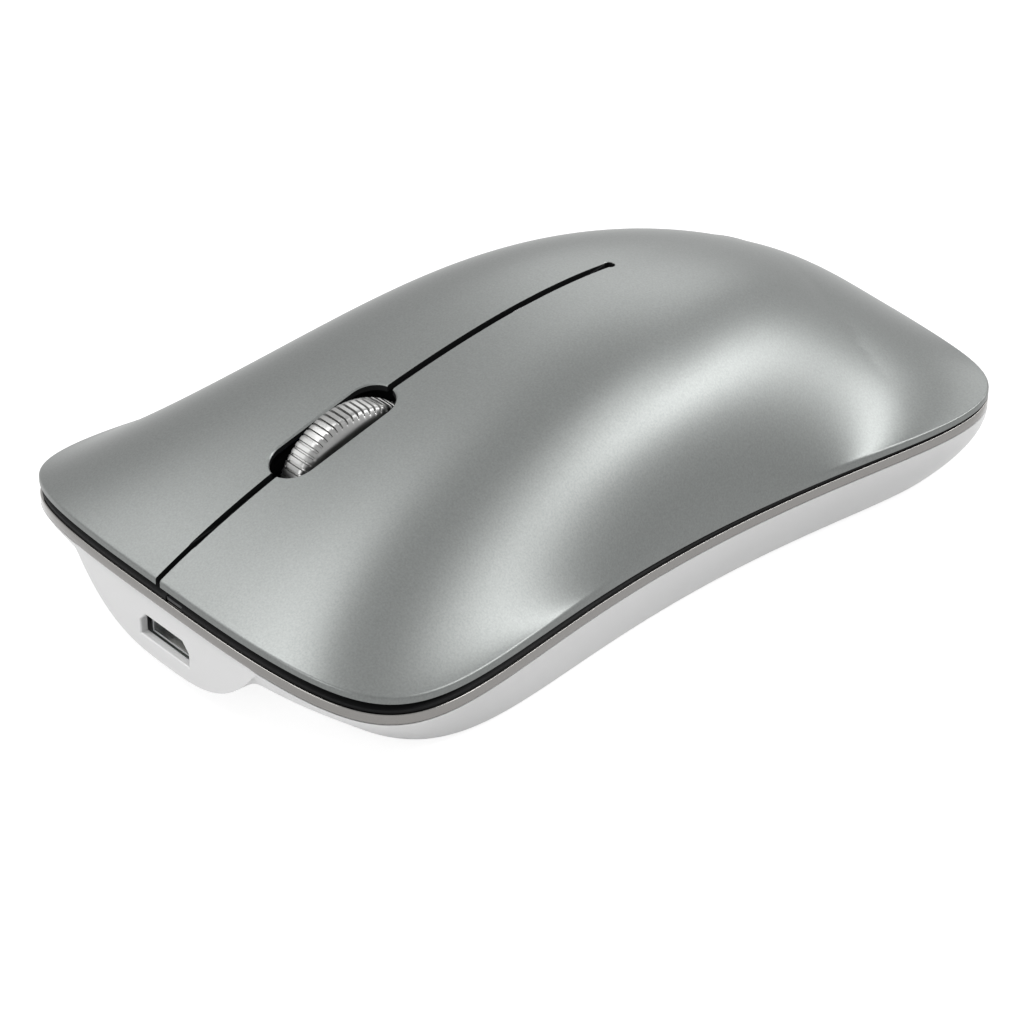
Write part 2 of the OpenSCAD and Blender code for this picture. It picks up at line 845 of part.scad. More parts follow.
module usb_port() {
    wall = 0.25;
    color("#b4b6b8")
        translate([0, port_y + port_size[1], port_z])
            rotate([90, 0, 0])
                difference() {
                    linear_extrude(port_size[1])
                        port_outline(port_size[0], port_size[2] - 2 * seat_gap, port_chamfer * 0.9);
                    translate([0, 0, wall])
                        linear_extrude(port_size[1])
                            port_outline(port_size[0] - 2 * wall, port_size[2] - 2 * wall - 2 * seat_gap,
                                port_chamfer * 0.9);
                }
}

module usb_tongue() {
    wall = 0.25;
    depth = port_size[1] - wall - seat_gap;
    color("#d9d9d4") {
        translate([-1.9, port_y + 0.8, port_z - 0.1])
            cube([3.8, depth - 0.8, 0.6]);
        translate([-2.4, port_y + depth - 1.2, port_z - 0.9])
            cube([4.8, 1.2, 1.8]);
    }
}

module sensor_chip() {
    color("#202225")
        difference() {
            slab(-chip_size[0] / 2, sensor_y - chip_size[1] / 2, board_top + seat_gap, chip_size);
            translate([0, sensor_y, 0])
                cylinder(d = 2.4, h = board_top + 0.8);
        }
}

module sensor_lens() {
    color("#dfe6ea")
        difference() {
            slab(-lens_size[0] / 2, sensor_y - lens_size[1] / 2, floor_z + seat_gap,
                [lens_size[0], lens_size[1], board_gap - 2 * seat_gap], 1);
            translate([0, sensor_y - 1.5, 0])
                cylinder(d = 2.6, h = floor_z + 0.6);
        }
}

pipe_x = 1;
pipe_w = 2.8;
pipe_z = trim_top(270) + 2 * seat_gap;
pipe_h = edge_z(270) - edge_gap(-half_l) - pipe_z;
led_y = port_y + 6.6;

module charge_led() {
    color("#f2f0e6")
        slab(pipe_x + 0.6, led_y - 0.8, board_top + seat_gap, [1.6, 1.6, 0.7], 0.2);
}

module light_pipe() {
    tip_y = band_in - half_l + 0.15;
    color("#6f7478") {
        translate([pipe_x, tip_y, pipe_z])
            cube([pipe_w, led_y + 0.8 - tip_y, pipe_h]);
        translate([pipe_x, led_y - 0.8, board_top + 1])
            cube([pipe_w, 1.6, pipe_z - board_top - 1 + pipe_h]);
    }
}

module battery() {
    color("#8a93a6")
        slab(battery_x - battery_size[1] / 2, battery_front, floor_z + seat_gap,
            [battery_size[1], battery_size[0], battery_size[2]], 2);
}

module battery_leads() {
    y0 = plug_y + plug_body[1];
    y1 = battery_front - seat_gap;
    for (s = [-1, 1])
        color(s < 0 ? "#20242a" : "#b3261e")
            translate([plug_x + s * lead_x, y1, board_top + lead_z])
                rotate([90, 0, 0])
                    cylinder(d = lead_d, h = y1 - y0 - seat_gap);
}

module battery_plug() {
    color("#f0ede2")
        slab(plug_x - plug_body[0] / 2, plug_y, board_top + seat_gap, plug_body, 0.3);
}

module power_switch() {
    color("#aeb1b4")
        difference() {
            slab(power_x - power_size[0] / 2, power_y - power_size[1] / 2, floor_z + seat_gap,
                power_size, 0.3);
            slab(power_x - power_well[0] / 2, power_y - power_well[1] / 2, 0,
                [power_well[0], power_well[1], floor_z + power_well[2]], 0.3);
        }
}

module power_slider() {
    color("#303235")
        slab(power_x - slide_travel / 2 - slider_size[0] / 2, power_y - slider_size[1] / 2,
            foot_h + 0.1, [slider_size[0], slider_size[1], floor_z - foot_h + 1.2], 0.3);
}

// Receiver that is stored in a bay of the floor
module receiver_cap() {
    color("#2b2d30")
        slab(bay_x - cap_size[0] / 2, bay_y0, foot_h, [cap_size[0], cap_size[1], cap_size[2]], 0.8);
}

module receiver_plug() {
    wall = 0.35;
    z0 = foot_h + (cap_size[2] - plug_size[2]) / 2;
    color("#b4b6b8")
        translate([bay_x - plug_size[0] / 2, bay_y0 + cap_size[1] + seat_gap, z0])
            difference() {
                cube([plug_size[0], plug_size[1] - seat_gap, plug_size[2]]);
                translate([wall, 1, plug_size[2] / 2])
                    cube([plug_size[0] - 2 * wall, plug_size[1], plug_size[2] / 2 - wall]);
            }
}

// ---- Fasteners ----

// Screw with a round head, pointing up; the head's underside is at z = 0
module screw(head_d, head_h, d, l) {
    translate([0, 0, -head_h])
        difference() {
            cylinder(d = head_d, h = head_h);
            translate([-head_d / 3, -0.2, -1])
                cube([head_d * 2 / 3, 0.4, 1.4]);
            translate([-0.2, -head_d / 3, -1])
                cube([0.4, head_d * 2 / 3, 1.4]);
        }
    cylinder(d = d, h = l);
}

module case_screws() {
    color("#77797c")
        for (s = [-1, 1])
            translate([s * screw_x, screw_y, foot_h + head_sink - seat_gap])
                screw(screw_head_d, screw_head_h, screw_d - 2 * seat_gap, screw_l);
}

module pcb_screws() {
    color("#77797c")
        for (s = [-1, 1])
            translate([s * pcb_screw_x, pcb_screw_y, board_top + seat_gap])
                mirror([0, 0, 1])
                    screw(pcb_head[0], pcb_head[1], pcb_screw_d, pcb_screw_l);
}

palm_cover();
left_button();
right_button();
mid_frame();
trim_ring();
lower_shell();
front_foot();
rear_foot();
wheel_rim();
wheel_hub();
wheel_axle();
wheel_yoke();
yoke_pin();
scroll_encoder();
wheel_surround();
main_pcb();
left_switch();
left_switch_plunger();
right_switch();
right_switch_plunger();
wheel_switch();
wheel_switch_plunger();
usb_port();
usb_tongue();
sensor_chip();
sensor_lens();
charge_led();
light_pipe();
battery();
battery_leads();
battery_plug();
power_switch();
power_slider();
receiver_cap();
receiver_plug();
case_screws();
pcb_screws();
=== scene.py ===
import json
import math

import bmesh
import bpy
import numpy as np
from mathutils import Matrix, Vector


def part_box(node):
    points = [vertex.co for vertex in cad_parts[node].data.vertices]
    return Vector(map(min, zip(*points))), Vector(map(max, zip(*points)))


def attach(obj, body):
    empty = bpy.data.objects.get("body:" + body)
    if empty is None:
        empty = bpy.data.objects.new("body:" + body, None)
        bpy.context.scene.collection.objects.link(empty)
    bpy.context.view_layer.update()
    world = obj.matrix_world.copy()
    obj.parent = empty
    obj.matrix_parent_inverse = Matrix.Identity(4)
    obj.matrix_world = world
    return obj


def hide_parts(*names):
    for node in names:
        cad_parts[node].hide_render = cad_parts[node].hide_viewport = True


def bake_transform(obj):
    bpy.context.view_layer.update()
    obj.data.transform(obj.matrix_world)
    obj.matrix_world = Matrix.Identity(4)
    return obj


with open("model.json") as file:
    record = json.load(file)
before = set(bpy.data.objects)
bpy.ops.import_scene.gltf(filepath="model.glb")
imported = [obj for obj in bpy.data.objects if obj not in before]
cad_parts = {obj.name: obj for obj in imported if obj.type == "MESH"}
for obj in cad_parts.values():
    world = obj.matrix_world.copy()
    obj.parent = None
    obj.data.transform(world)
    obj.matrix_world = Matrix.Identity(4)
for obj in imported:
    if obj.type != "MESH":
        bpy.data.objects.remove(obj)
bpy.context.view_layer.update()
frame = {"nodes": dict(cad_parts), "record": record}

MM = 0.001
NODE = frame["nodes"]

# ---- Shape, from the same named values as the part's source, in millimetres ----

BODY_L, BUTTON_L = 106, 65
CROWN_Z = [13.2, 20.7, 25.8, 28.9, 28.7, 23.3, 11.2]
SIDE_Z = [8, 10.5, 10.3, 9.6, 9.7]
FRAME_HW = [43.5, 32.4, 27.6, 27.3, 32.5]
FLAT_P = [4.3, 3.1, 1.3]
FLARE_Q = [3.2, 0.78, 2.5]
NOSE_N, TAIL_N, MIN_P = 3.8, 5.5, 1.9
COVER_T, SLOT_W, SLOT_END_D = 0.8, 0.8, 1.3
HALF = BODY_L / 2
FLEX_Y = BUTTON_L - HALF
AXLE_Y, WHEEL_Z, WHEEL_R = 27 - HALF, 14.6, 10.1
OPEN_Y, OPEN_HW, OPEN_L = 24.3 - HALF, 3.0, 16.3
KNURLS = 76


def curve(v, t):
    """The smooth curve through values at even stations, at t from 0 to 1."""
    n = len(v) - 1
    t = np.asarray(t, float)
    out = np.zeros_like(t)
    for i in range(n + 1):
        w = np.ones_like(t)
        for j in range(n + 1):
            if j != i:
                w = w * (t * n - j) / (i - j)
        out = out + v[i] * w
    return out


def along(y):
    """How far back y lies, from 0 at the nose to 1 at the tail."""
    return (np.asarray(y, float) / HALF + 1) / 2


def frame_w(y):
    return curve(FRAME_HW, along(y))


def top_z(x, y):
    """Height of the crown."""
    t = along(y)
    u = np.minimum(1, np.abs(x) / frame_w(y))
    p = np.maximum(MIN_P, curve(FLAT_P, t))
    side = curve(SIDE_Z, t)
    return side + (curve(CROWN_Z, t) - side) * np.power(1 - np.power(u, p), curve(FLARE_Q, t))


def rounded_square(a, nose_n):
    """Cosine and sine of the angles a, and the divisor that brings them onto a rounded square."""
    c, s = np.cos(a), np.sin(a)
    n = np.where(s < 0, nose_n, TAIL_N)
    return c, s, np.power(np.power(np.abs(c), n) + np.power(np.abs(s), n), 1 / n)


def plan(a, k=1.0):
    """Plan points at angles a and fraction k of the way out."""
    c, s, size = rounded_square(a, NOSE_N)
    r = k / size
    y = HALF * r * s
    return frame_w(y) * r * c, y


def outward(a):
    """Direction square to the plan's edge, at angles a."""
    d = 1e-4
    x0, y0 = plan(a - d)
    x1, y1 = plan(a + d)
    ln = np.hypot(x1 - x0, y1 - y0)
    return (y1 - y0) / ln, -(x1 - x0) / ln


def top_normal(x, y):
    h = 0.02
    zx = (top_z(x + h, y) - top_z(x - h, y)) / (2 * h)
    zy = (top_z(x, y + h) - top_z(x, y - h)) / (2 * h)
    n = np.array([-zx, -zy, np.ones_like(zx)])
    return n / np.linalg.norm(n, axis=0)


def around(steps):
    return np.linspace(0, 2 * math.pi, steps, endpoint=False)


def pill(a, x, y, half_w, reach):
    """Outline of a long hole with round ends, whose middles lie reach from y, at angles a."""
    s = np.sin(a)
    return x + half_w * np.cos(a), y + np.where(s >= 0, reach, -reach) + half_w * s


# ---- Mesh helpers ----

PILL_STEPS = 48


def new_object(name, verts, faces):
    me = bpy.data.meshes.new(name)
    me.from_pydata([tuple(v) for v in verts], [], faces)
    me.validate()
    o = bpy.data.objects.new(name, me)
    bpy.context.scene.collection.objects.link(o)
    return o


def outward_faces(o):
    bm = bmesh.new()
    bm.from_mesh(o.data)
    bmesh.ops.recalc_face_normals(bm, faces=bm.faces)
    bm.to_mesh(o.data)
    bm.free()


def rings_mesh(name, rings, closed=False):
    """Skin over rings of equal length, in millimetres, closed on itself or capped."""
    n, m = len(rings[0]), len(rings)
    verts = [[c * MM for c in p] for r in rings for p in r]
    faces = []
    for j in range(m if closed else m - 1):
        k = (j + 1) % m
        for i in range(n):
            i2 = (i + 1) % n
            faces.append((j * n + i, k * n + i, k * n + i2, j * n + i2))
    if not closed:
        faces.append(tuple(range(n)))
        faces.append(tuple(range((m - 1) * n, m * n))[::-1])
    o = new_object(name, verts, faces)
    outward_faces(o)
    return o


def prism(name, outline, z0, z1):
    """Upright tool with one outline, between two heights, in millimetres."""
    return rings_mesh(name, [[(x, y, z) for x, y in outline] for z in (z0, z1)])


def slab_tool(name, lo, hi):
    """Tool with the shape of a box between two corners, in metres."""
    corners = ((lo[0], lo[1]), (hi[0], lo[1]), (hi[0], hi[1]), (lo[0], hi[1]))
    return prism(name, [(x / MM, y / MM) for x, y in corners], lo[2] / MM, hi[2] / MM)


def pill_tool(name, x, y, half_w, length, z0, z1):
    xs, ys = pill(around(PILL_STEPS), x, y, half_w, length / 2 - half_w)
    return prism(name, list(zip(xs, ys)), z0, z1)


def cut(o, tool):
    """Takes the tool's volume out of the object, and the tool with it."""
    m = o.modifiers.new("cut", "BOOLEAN")
    m.operation, m.solver, m.object = "DIFFERENCE", "EXACT", tool
    bpy.context.view_layer.update()
    made = bpy.data.meshes.new_from_object(o.evaluated_get(bpy.context.evaluated_depsgraph_get()))
    o.modifiers.clear()
    o.data = made
    bpy.data.objects.remove(tool)


def half_space(o, point, normal):
    """Keeps the side that normal points away from, and closes the cut."""
    bm = bmesh.new()
    bm.from_mesh(o.data)
    geom = bm.verts[:] + bm.edges[:] + bm.faces[:]
    got = bmesh.ops.bisect_plane(bm, geom=geom, plane_co=Vector(point) * MM,
                                 plane_no=Vector(normal), clear_outer=True, dist=1e-7)
    edges = [e for e in got["geom_cut"] if isinstance(e, bmesh.types.BMEdge)]
    bmesh.ops.holes_fill(bm, edges=edges, sides=0)
    bm.to_mesh(o.data)
    bm.free()


def smooth(o, angle):
    """Smooth shading, with a crease wherever faces meet at more than angle degrees."""
    for p in o.data.polygons:
        p.use_smooth = True
    o.data.set_sharp_from_angle(angle=math.radians(angle))


# ---- Metal top, as one smooth skin split where the leaves flex ----

STEPS = 400
EDGE_R, EDGE_STEPS = 0.22, 5
# Rings of the crown, closer together near the edge; the last one stays clear of its rounding
RADIAL = np.concatenate([np.linspace(0.03, 0.9, 34), np.linspace(0.915, 0.988, 12)])
SLOT_OUT, SLOT_END_IN, SLOT_END_PLAY = 6, 0.3, 0.001
# Chamfer of the slot and the opening: its size, how far it spreads and how far it rises past the
# surface, and how high the tool goes on
SLOT_FLARE, OPEN_FLARE, FLARE_OUT, FLARE_UP, TOOL_RISE = 0.06, 0.14, 1.6, 0.6, 9
SLOT_STEPS, OPEN_STEPS = 40, 72
TOP_CREASE = 35
# Which corners get the crown's own normal: within this height of it, this far in from the ends,
# this nearly along it, and within this share of the width
ON_CROWN, END_IN, ALIGNED, WIDTH_SHARE = 0.004, 0.03, 0.97, 0.995
# Which faces are inside and get black as painted shade: this deep under the crown, and facing down,
# away from the rim, or beside the slot and facing sideways
UNDER, DOWNWARD, RIM_REACH, SLOT_REACH, SIDEWAYS = 0.1, -0.2, 0.9, 1, 0.7

ANG = around(STEPS)
EX, EY = plan(ANG)
NX, NY = outward(ANG)


def skin_rings():
    rings = []
    for k in RADIAL:
        x, y = plan(ANG, k)
        rings.append(np.array([x, y, top_z(x, y) - COVER_T]).T)
    rings.append(np.array([EX, EY, top_z(EX, EY) - COVER_T]).T)
    for i in range(EDGE_STEPS + 1):
        b = math.radians(90 * i / EDGE_STEPS)
        d = EDGE_R * (1 - math.cos(b))
        x, y = EX - d * NX, EY - d * NY
        # Measured from the crown just there, so that a steep flank meets the rounding evenly
        rings.append(np.array([x, y, top_z(x, y) - EDGE_R * (1 - math.sin(b))]).T)
    for k in RADIAL[::-1]:
        x, y = plan(ANG, k)
        rings.append(np.array([x, y, top_z(x, y)]).T)
    return rings


def opening_cutter(name, half_w, y0, y1, flare, steps=SLOT_STEPS):
    """Slot or opening whose upper edge is broken by a small chamfer that follows the surface."""
    mid, reach = (y0 + y1) / 2, (y1 - y0) / 2 - half_w
    wide = half_w + FLARE_OUT * flare
    rings = []
    for w, dz in ((half_w, None), (half_w, -flare), (wide, FLARE_UP * flare), (wide, TOOL_RISE)):
        x, y = pill(around(steps), 0, mid, w, reach)
        z = np.zeros_like(x) if dz is None else top_z(x, np.clip(y, -HALF, HALF)) + dz
        rings.append(np.array([x, y, z]).T)
    return rings_mesh(name, rings)


def set_top_normals(o):
    """Exact normals on the crown, so that the split leaves no line in the gloss."""
    me = o.data
    co = np.zeros(len(me.vertices) * 3)
    me.vertices.foreach_get("co", co)
    x, y, z = co.reshape(-1, 3).T / MM
    near = np.abs(z - top_z(x, y)) < ON_CROWN
    normals = top_normal(x, np.clip(y, -HALF + END_IN, HALF - END_IN)).T
    share = np.abs(x) / frame_w(y)
    custom = np.zeros((len(me.loops), 3))
    for p in me.polygons:
        ids = list(p.vertices)
        mean = normals[ids].mean(0)
        if near[ids].all() and mean @ np.array(p.normal) > ALIGNED and share[ids].max() < WIDTH_SHARE:
            for li in p.loop_indices:
                custom[li] = normals[me.loops[li].vertex_index]
    me.normals_split_custom_set([tuple(v) for v in custom])


def metal_top():
    whole = rings_mesh("cover_blank", skin_rings())
    cut(whole, opening_cutter("slot_tool", SLOT_W / 2, -HALF - SLOT_OUT, FLEX_Y, SLOT_FLARE))
    end_y, end_r = FLEX_Y - SLOT_END_IN, SLOT_END_D / 2
    cut(whole, opening_cutter("slot_end_tool", end_r, end_y - end_r, end_y + end_r + SLOT_END_PLAY,
                              SLOT_FLARE))
    cut(whole, opening_cutter("opening_tool", OPEN_HW, OPEN_Y - OPEN_L / 2, OPEN_Y + OPEN_L / 2,
                              OPEN_FLARE, OPEN_STEPS))
    made = []
    for name, planes in (
        ("palm_skin", [((0, FLEX_Y, 0), (0, -1, 0))]),
        ("left_leaf_skin", [((0, FLEX_Y, 0), (0, 1, 0)), ((0, 0, 0), (1, 0, 0))]),
        ("right_leaf_skin", [((0, FLEX_Y, 0), (0, 1, 0)), ((0, 0, 0), (-1, 0, 0))]),
    ):
        o = bpy.data.objects.new(name, whole.data.copy())
        o.data.name = name
        bpy.context.scene.collection.objects.link(o)
        for point, normal in planes:
            half_space(o, point, normal)
        smooth(o, TOP_CREASE)
        set_top_normals(o)
        made.append(o)
    bpy.data.objects.remove(whole)
    return made


def paint_shade_inside(o):
    """The underside, and the cut walls of the slot and the opening, are black: painted shade that keeps them
    dark whatever light falls in.
    """
    faces = o.data.polygons
    o.data.materials.append(MATS["black_band"])
    middle, facing = np.zeros(3 * len(faces)), np.zeros(3 * len(faces))
    faces.foreach_get("center", middle)
    faces.foreach_get("normal", facing)
    x, y, z = middle.reshape(-1, 3).T / MM
    nx, _, nz = facing.reshape(-1, 3).T
    y = np.clip(y, -HALF, HALF)
    reach = (np.abs(x) / frame_w(y)) ** NOSE_N + (np.abs(y) / HALF) ** NOSE_N
    under = top_z(x, y) - z > UNDER
    wall = (np.abs(x) < SLOT_REACH) & (np.abs(nx) > SIDEWAYS)
    # Painted shade: these faces take the black material, so the slot, the opening and the underside stay dark
    painted_shade_faces = under & ((nz < DOWNWARD) | (reach < RIM_REACH) | wall)
    faces.foreach_set("material_index", painted_shade_faces.astype(np.int32))


# ---- Edge stack: black band over bright trim ----

BAND_FRONT, BAND_REAR, BAND_IN, BAND_R = 1.45, 0.25, 0.25, 0.06
TRIM_H, TRIM_T, TRIM_R, FRAME_T = 1.3, 0.6, 0.12, 2.0
SEAT, MOVE, TRAVEL = 0.05, 0.3, 0.7
INNER_RISE, LIP_GAP = 1.2, 0.2
PIPE_PLAY, PIPE_OUT, PIPE_DEEP, PIPE_HIGH = 0.05, 2, 6, 30
STACK_CREASE = 40

EDGE_Z = top_z(EX, EY) - COVER_T
TRIM_TOP = EDGE_Z - (BAND_FRONT + (BAND_REAR - BAND_FRONT) * along(EY))
TRIM_LOW = TRIM_TOP - TRIM_H
# Room under the top, which grows forward of the flexing line with the leaves' travel
EDGE_GAP = np.where(EY < FLEX_Y, MOVE + TRAVEL * (FLEX_Y - EY) / BUTTON_L, 2 * SEAT)


def lip(d, z):
    """Ring that lies d inside the body's edge, at height z."""
    return np.array([EX - d * NX, EY - d * NY, z + 0 * ANG]).T


def trim_skin():
    top, low, back, r = TRIM_TOP, TRIM_LOW + SEAT, TRIM_T - SEAT, TRIM_R
    turns = np.radians((30, 60))
    rings = [lip(back, low), lip(r, low)]
    rings += [lip(r * (1 - math.sin(b)), low + r * (1 - math.cos(b))) for b in turns]
    rings += [lip(0, low + r), lip(0, top - r)]
    rings += [lip(r * (1 - math.cos(b)), top - r * (1 - math.sin(b))) for b in turns]
    rings += [lip(r, top), lip(back, top)]
    o = rings_mesh("trim_skin", rings, closed=True)
    smooth(o, STACK_CREASE)
    return o


def band_skin():
    inner, low, step = TRIM_T + FRAME_T, TRIM_LOW + SEAT, TRIM_TOP + SEAT
    high = EDGE_Z - EDGE_GAP
    x, y, _ = lip(inner, 0.0).T
    inside = np.minimum(EDGE_Z + INNER_RISE, top_z(x, y) - COVER_T) - EDGE_GAP - LIP_GAP
    rings = [
        lip(TRIM_T, low), lip(TRIM_T, step), lip(BAND_IN, step), lip(BAND_IN, high - BAND_R),
        lip(BAND_IN + BAND_R, high), lip(inner, inside), lip(inner, low),
    ]
    o = rings_mesh("band_skin", rings, closed=True)
    lo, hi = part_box("light_pipe")
    play = PIPE_PLAY * MM
    cut(o, slab_tool("pipe_window", (lo.x - play, lo.y - PIPE_OUT * MM, lo.z - play),
                     (hi.x + play, lo.y + PIPE_DEEP * MM, PIPE_HIGH * MM)))
    smooth(o, STACK_CREASE)
    return o


# ---- Lower shell ----

BASE_IN, TAIL_IN, NOSE_IN, BASE_N = 2.2, 4.9, 8.8, 4.1
# How square the wall rises at the sides and at the nose's corners, in degrees round the plan
WALL_SIDE, WALL_CORNER, CORNER_A, CORNER_EASE = 1.95, 0.9, 315, 28
KEEL_LOW, KEEL_RISE, KEEL_T, KEEL_SOFT, KEEL_NEAR = 1.75, 0.0016, 0.9, 0.25, 2.5
FOOT_H, FLOOR_T, SHELL_T, FACE_IN = 0.6, 1.2, 1.3, 0.4
FLOOR_Z = FOOT_H + FLOOR_T
FACE_Y = FACE_IN - HALF
LEVELS = np.concatenate([[0, 0.004, 0.012, 0.025], np.linspace(0.045, 0.96, 22), [0.985, 1]])
SHELL_CREASE = 28

BOARD_GAP, PCB_T, PORT_H = 1.2, 1.0, 2.6
PORT_Z = FLOOR_Z + BOARD_GAP + PCB_T + PORT_H / 2
PORT_HOLE, PORT_CORNER, CORNER_GROW = (9, 2.9), 1.1, 0.6
# Depth behind the face, and how much wider the port's opening is there on every side
PORT_STATIONS = ((-1, 0.5), (-0.02, 0.14), (0.13, 0.0), (4, 0.0))
SENSOR_Y, SENSOR_HW, SENSOR_L = -4, 3, 10
BAY_PLAY = 0.2
SCREW_X, SCREW_IN, SCREW_R = 13, 12, 2.2
POWER_AT, POWER_HOLE = (-14.5, -14), (8.4, 3.4)
TOOL_LOW, TOOL_HIGH = -1, FLOOR_Z + 1


def base_plan():
    """Outline of the flat base."""
    c, s, size = rounded_square(ANG, BASE_N)
    r = 1 / size
    y = (HALF - np.where(s < 0, NOSE_IN, TAIL_IN)) * r * s
    return (frame_w(y) - BASE_IN) * r * c, y


BX, BY = base_plan()


def wall_ring(v, d, z0, lift):
    """Ring of the bowl at fraction v of its height, d inside it, from base z0; lift raises the keel."""
    deg = np.degrees(ANG) % 360
    off = np.minimum(np.abs(deg - CORNER_A), np.abs(deg - 540 + CORNER_A))
    n = WALL_SIDE + (WALL_CORNER - WALL_SIDE) * np.exp(-((off / CORNER_EASE) ** 2))
    s = 1 - np.power(1 - v, n)
    x, y = BX * (1 - s) + EX * s - d * NX, BY * (1 - s) + EY * s - d * NY
    z = z0 + (TRIM_LOW - z0) * v
    keel = KEEL_LOW + KEEL_RISE * np.abs(x) ** 3 + lift
    # The keel runs into the bowl through a small fillet
    low = -KEEL_SOFT * np.logaddexp(-z / KEEL_SOFT, -keel / KEEL_SOFT)
    low = np.maximum(low, min(z0, FOOT_H + lift * 2))
    z = np.where((v < 1) & (np.sin(ANG) < 0) & (keel < z + KEEL_NEAR), low, z)
    return np.array([x, y, z]).T


def port_outline(w, h, c):
    """Rectangle whose two upper corners are cut off by c."""
    x, z = w / 2, h / 2
    return [(-x, -z), (x, -z), (x, z - c), (x - c, z), (c - x, z), (-x, z - c)]


def port_tool():
    rings = []
    for depth, grow in PORT_STATIONS:
        w, h = (side + 2 * grow for side in PORT_HOLE)
        outline = port_outline(w, h, PORT_CORNER + grow * CORNER_GROW)
        rings.append([(x, FACE_Y + depth, PORT_Z + z) for x, z in outline])
    return rings_mesh("port_tool", rings)


def shell_skin():
    rings = [wall_ring(v, 0, FOOT_H, 0) for v in LEVELS]
    rings += [wall_ring(v, SHELL_T, FLOOR_Z, KEEL_T) for v in LEVELS[::-2]]
    o = rings_mesh("shell_skin", rings)
    half_space(o, (0, FACE_Y, 0), (0, -1, 0))
    cut(o, port_tool())
    cut(o, pill_tool("sensor_tool", 0, SENSOR_Y, SENSOR_HW, SENSOR_L, TOOL_LOW, TOOL_HIGH))
    lo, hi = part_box("receiver_cap")
    _, plug_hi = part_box("receiver_plug")
    play = BAY_PLAY * MM
    cut(o, slab_tool("bay_tool", (lo.x - play, lo.y - play, TOOL_LOW * MM),
                     (hi.x + play, plug_hi.y + play, hi.z + play)))
    for side in (-1, 1):
        cut(o, pill_tool("screw_tool", side * SCREW_X, HALF - SCREW_IN, SCREW_R, 2 * SCREW_R,
                         TOOL_LOW, TOOL_HIGH))
    (x, y), (w, d) = POWER_AT, POWER_HOLE
    cut(o, slab_tool("power_tool", ((x - w / 2) * MM, (y - d / 2) * MM, TOOL_LOW * MM),
                     ((x + w / 2) * MM, (y + d / 2) * MM, TOOL_HIGH * MM)))
    smooth(o, SHELL_CREASE)
    return o


# ---- Wheel ----

# Half of the tread's profile: distance from its middle, and drop below the wheel's radius
TREAD = [
    (0.0, 0.0), (0.6, 0.0), (1.0, 0.02), (1.25, 0.07), (1.42, 0.16), (1.54, 0.28), (1.64, 0.42),
    (1.74, 0.58), (1.86, 0.78), (2.0, 1.02), (2.13, 1.32), (2.25, 1.7), (2.35, 2.15), (2.44, 2.65),
    (2.5, 3.05),
]
RIM_BORE_R, WHEEL_CREASE = 7.02, 38
# Groove in shares of a knurl's pitch, then its depth, and the drops over which it runs out
GROOVE_STEPS, GROOVE_HALF, GROOVE_WALL = 10, 0.16, 0.06
GROOVE_DEEP, GROOVE_END, GROOVE_RUN = 0.3, 0.62, 0.16


def wheel_skin():
    """Knurled tread whose grooves run over the shoulder into a smooth bright fillet."""
    a = around(KNURLS * GROOVE_STEPS)
    phase = (np.arange(len(a)) % GROOVE_STEPS) / GROOVE_STEPS
    groove = np.clip((GROOVE_HALF - np.abs(phase - 0.5)) / GROOVE_WALL, 0, 1)
    profile = [(-x, drop) for x, drop in TREAD[:0:-1]] + TREAD

    def ring(x, r):
        return np.array([x + 0 * a, AXLE_Y + r * np.cos(a), WHEEL_Z + r * np.sin(a)]).T

    rings = []
    for x, drop in profile:
        deep = GROOVE_DEEP * np.clip((GROOVE_END - drop) / GROOVE_RUN, 0, 1)
        rings.append(ring(x, WHEEL_R - drop - deep * groove))
    rings += [ring(x, RIM_BORE_R) for x in (profile[-1][0], profile[0][0])]
    o = rings_mesh("wheel_skin", rings, closed=True)
    smooth(o, WHEEL_CREASE)
    return o


# ---- Materials ----

# The part of the noise's range over which colour and roughness wander
NOISE_LOW, NOISE_HIGH = 0.3, 0.7


def material(name):
    m = bpy.data.materials.new(name)
    m.use_nodes = True
    t = m.node_tree
    return m, t.nodes, t.links, t.nodes["Principled BSDF"]


def noise(nodes, links, scale, detail, rough=0.5):
    co = nodes.new("ShaderNodeTexCoord")
    n = nodes.new("ShaderNodeTexNoise")
    n.inputs["Scale"].default_value = scale
    n.inputs["Detail"].default_value = detail
    n.inputs["Roughness"].default_value = rough
    links.new(co.outputs["Object"], n.inputs["Vector"])
    return n.outputs["Fac"]


def tint(nodes, links, fac, colour, spread):
    """The colour, wandering by the share spread to either side."""
    c = np.array(colour)
    r = nodes.new("ShaderNodeValToRGB")
    stops = ((NOISE_LOW, c * (1 - spread)), (NOISE_HIGH, np.minimum(1, c * (1 + spread))))
    for i, (position, shade) in enumerate(stops):
        r.color_ramp.elements[i].position = position
        r.color_ramp.elements[i].color = (*shade, 1)
    links.new(fac, r.inputs["Fac"])
    return r.outputs["Color"]


def span(nodes, links, fac, low, high):
    m = nodes.new("ShaderNodeMapRange")
    m.inputs["From Min"].default_value, m.inputs["From Max"].default_value = NOISE_LOW, NOISE_HIGH
    m.inputs["To Min"].default_value, m.inputs["To Max"].default_value = low, high
    links.new(fac, m.inputs["Value"])
    return m.outputs["Result"]


def bump(nodes, links, bsdf, fac, depth, strength):
    b = nodes.new("ShaderNodeBump")
    b.inputs["Strength"].default_value = strength
    b.inputs["Distance"].default_value = depth
    links.new(fac, b.inputs["Height"])
    links.new(b.outputs["Normal"], bsdf.inputs["Normal"])


